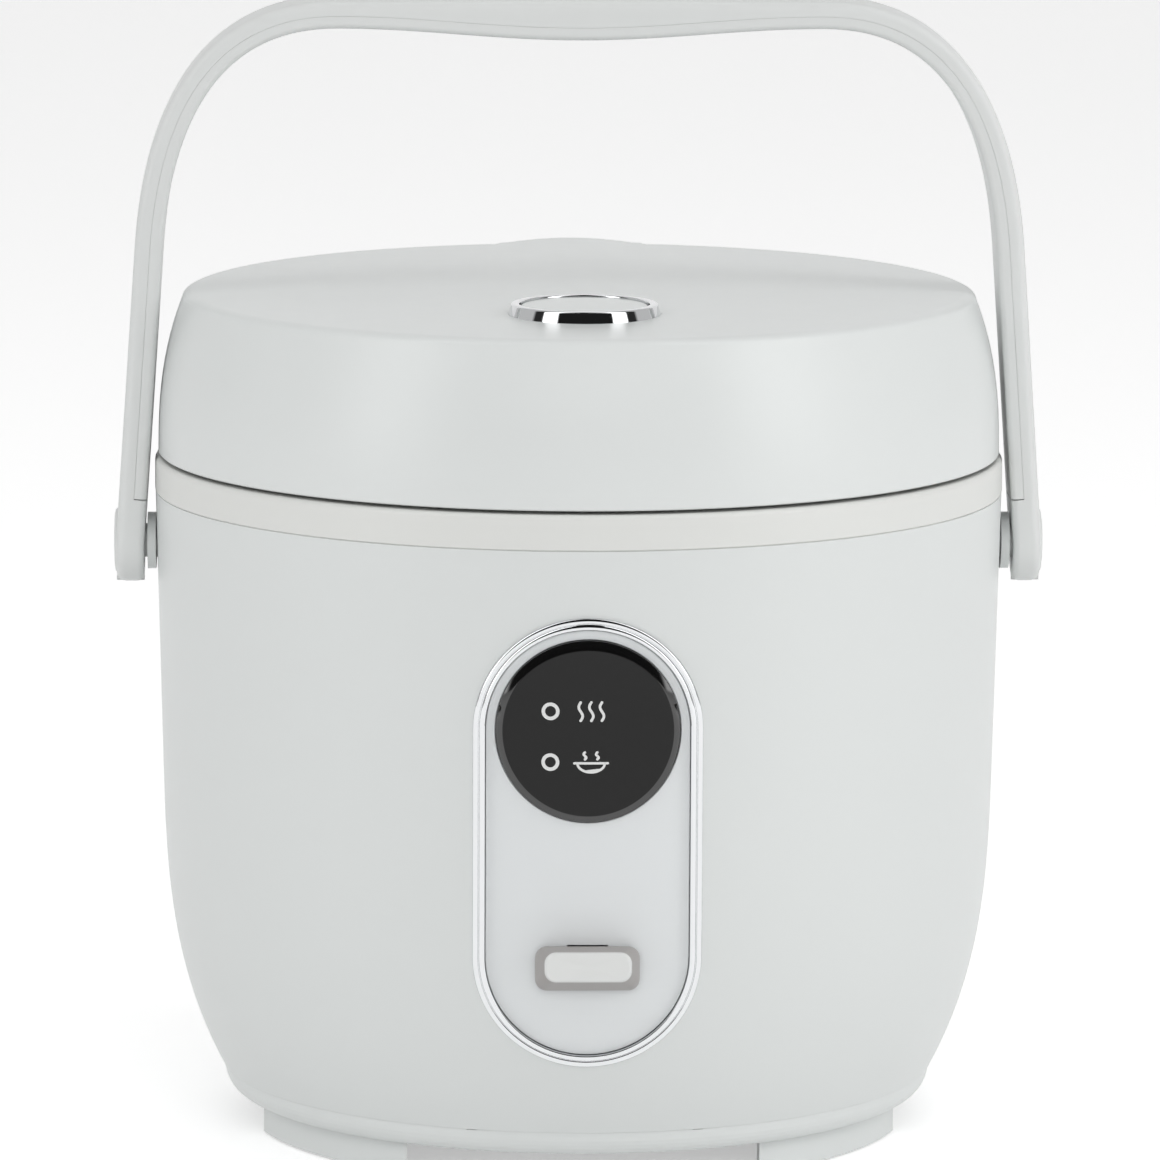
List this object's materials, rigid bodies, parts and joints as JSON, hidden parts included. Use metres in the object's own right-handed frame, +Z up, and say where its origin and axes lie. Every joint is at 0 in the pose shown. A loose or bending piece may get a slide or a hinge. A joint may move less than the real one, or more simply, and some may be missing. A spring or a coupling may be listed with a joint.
{
  "type": "rice cooker",
  "caption": "Small upright rice cooker with a hinged lid, push-to-cook lever and swinging bail handle.",
  "frame": {"origin": "on the table under the body's vertical axis", "axes": "+Z up, +Y to the rear (hinge and inlet), +X to the right seen from the front; the control panel faces -Y"},
  "size_m": [0.2194, 0.2142, 0.2674],
  "materials": {
    "body_white": "satin moulded ABS, very fine grain",
    "collar_cream": "satin moulded PP, slightly warmer white",
    "lid_white": "soft-gloss moulded PP",
    "handle_white": "satin moulded PP",
    "key_white": "soft-gloss moulded ABS",
    "rubber_dark": "moulded rubber",
    "steel": "zinc-plated steel",
    "aluminium": "spun and cast aluminium",
    "ferrite": "sintered ferrite and magnet steel",
    "black_plastic": "moulded thermoset",
    "red_plastic": "coloured plastic",
    "ceramic_cream": "glazed ceramic tube",
    "brass": "stamped brass",
    "chrome": "chrome-plated ABS, mirror gloss",
    "disc_black": "polished black acrylic",
    "light_clear": "clear light pipe",
    "board_green": "solder mask",
    "silicone": "translucent silicone"
  },
  "bodies": {
    "root": {"outer_shell": "body_white", "base_cover": "body_white", "rubber_feet": "rubber_dark", "base_screws": "steel", "collar_ring": "collar_cream", "collar_screws": "steel", "heat_liner": "steel", "inner_pot": "aluminium", "heating_plate": "aluminium", "heating_element": "steel", "plate_legs": "steel", "thermostat_frame": "steel", "sensor_spring": "steel", "lever_bracket": "steel", "bracket_screws": "steel", "lever_pin": "steel", "micro_switch": "black_plastic", "switch_screws": "steel", "keep_warm_thermostat": "black_plastic", "thermal_fuse": "ceramic_cream", "power_inlet": "black_plastic", "inlet_screws": "steel", "inlet_pins": "brass", "wiring": "red_plastic", "front_panel": "body_white", "panel_screws": "steel", "trim_ring": "chrome", "indicator_disc": "disc_black", "light_pipes": "light_clear", "indicator_board": "board_green", "indicator_leds": "red_plastic", "handle_studs": "body_white", "handle_screws": "steel", "latch_strike": "steel", "hinge_pin": "steel", "hinge_spring": "steel"},
    "lid": {"lid_shell": "lid_white", "lid_liner": "lid_white", "lid_screws": "steel", "inner_lid": "aluminium", "lid_grommet": "silicone", "lid_gasket": "silicone", "steam_duct": "lid_white", "steam_grille": "lid_white", "bezel_ring": "chrome", "button_spring": "steel", "latch_pin": "steel"},
    "button": {"release_button": "lid_white", "button_clip": "steel"},
    "latch": {"lid_latch": "lid_white"},
    "handle": {"handle_bow": "handle_white", "handle_strip": "handle_white", "handle_caps": "handle_white"},
    "lever": {"cook_lever": "steel", "lever_key": "key_white"},
    "sensor": {"sensor_cap": "aluminium", "ferrite_disc": "ferrite", "plunger_spring": "steel"},
    "plunger": {"magnet_plunger": "ferrite"},
    "switch_key": {"switch_button": "red_plastic"}
  },
  "joints": [
    {"name": "lid_hinge", "type": "hinge", "parent": "root", "child": "lid", "pos_m": [0, 0.1042, 0.163], "axis": [-1, 0, 0], "range_deg": [0, 8]},
    {"name": "button_slide", "type": "slide", "parent": "lid", "child": "button", "axis": [0, 0, -1], "range_m": [0, 0.0025], "stiffness_N_per_m": 400, "springref_m": -0.002, "deforming": ["button_spring"]},
    {"name": "latch_turn", "type": "hinge", "parent": "lid", "child": "latch", "pos_m": [0, -0.078, 0.1753], "axis": [-1, 0, 0], "range_deg": [0, 5.6]},
    {"name": "handle_swing", "type": "hinge", "parent": "root", "child": "handle", "pos_m": [0, 0, 0.1385], "axis": [1, 0, 0], "range_deg": [-95, 95]},
    {"name": "lever_press", "type": "hinge", "parent": "root", "child": "lever", "pos_m": [0, -0.042, 0.038], "axis": [1, 0, 0], "range_deg": [0, 6], "stiffness_Nm_per_rad": 0.5, "springref_deg": -5.73},
    {"name": "sensor_press", "type": "slide", "parent": "root", "child": "sensor", "axis": [0, 0, -1], "range_m": [0, 0.001], "stiffness_N_per_m": 800, "springref_m": -0.003, "deforming": ["sensor_spring"]},
    {"name": "plunger_lift", "type": "slide", "parent": "sensor", "child": "plunger", "axis": [0, 0, 1], "range_m": [0, 0.00439], "deforming": ["plunger_spring"]},
    {"name": "switch_press", "type": "slide", "parent": "root", "child": "switch_key", "axis": [0, 0, -1], "range_m": [0, 0.00115]}
  ],
  "couplings": [
    {"joint": "latch_turn", "follows": "button_slide", "rad_per_m": 39.091},
    {"joint": "plunger_lift", "follows": "lever_press", "m_per_rad": 0.041919},
    {"joint": "switch_press", "follows": "lever_press", "m_per_rad": 0.010979}
  ]
}
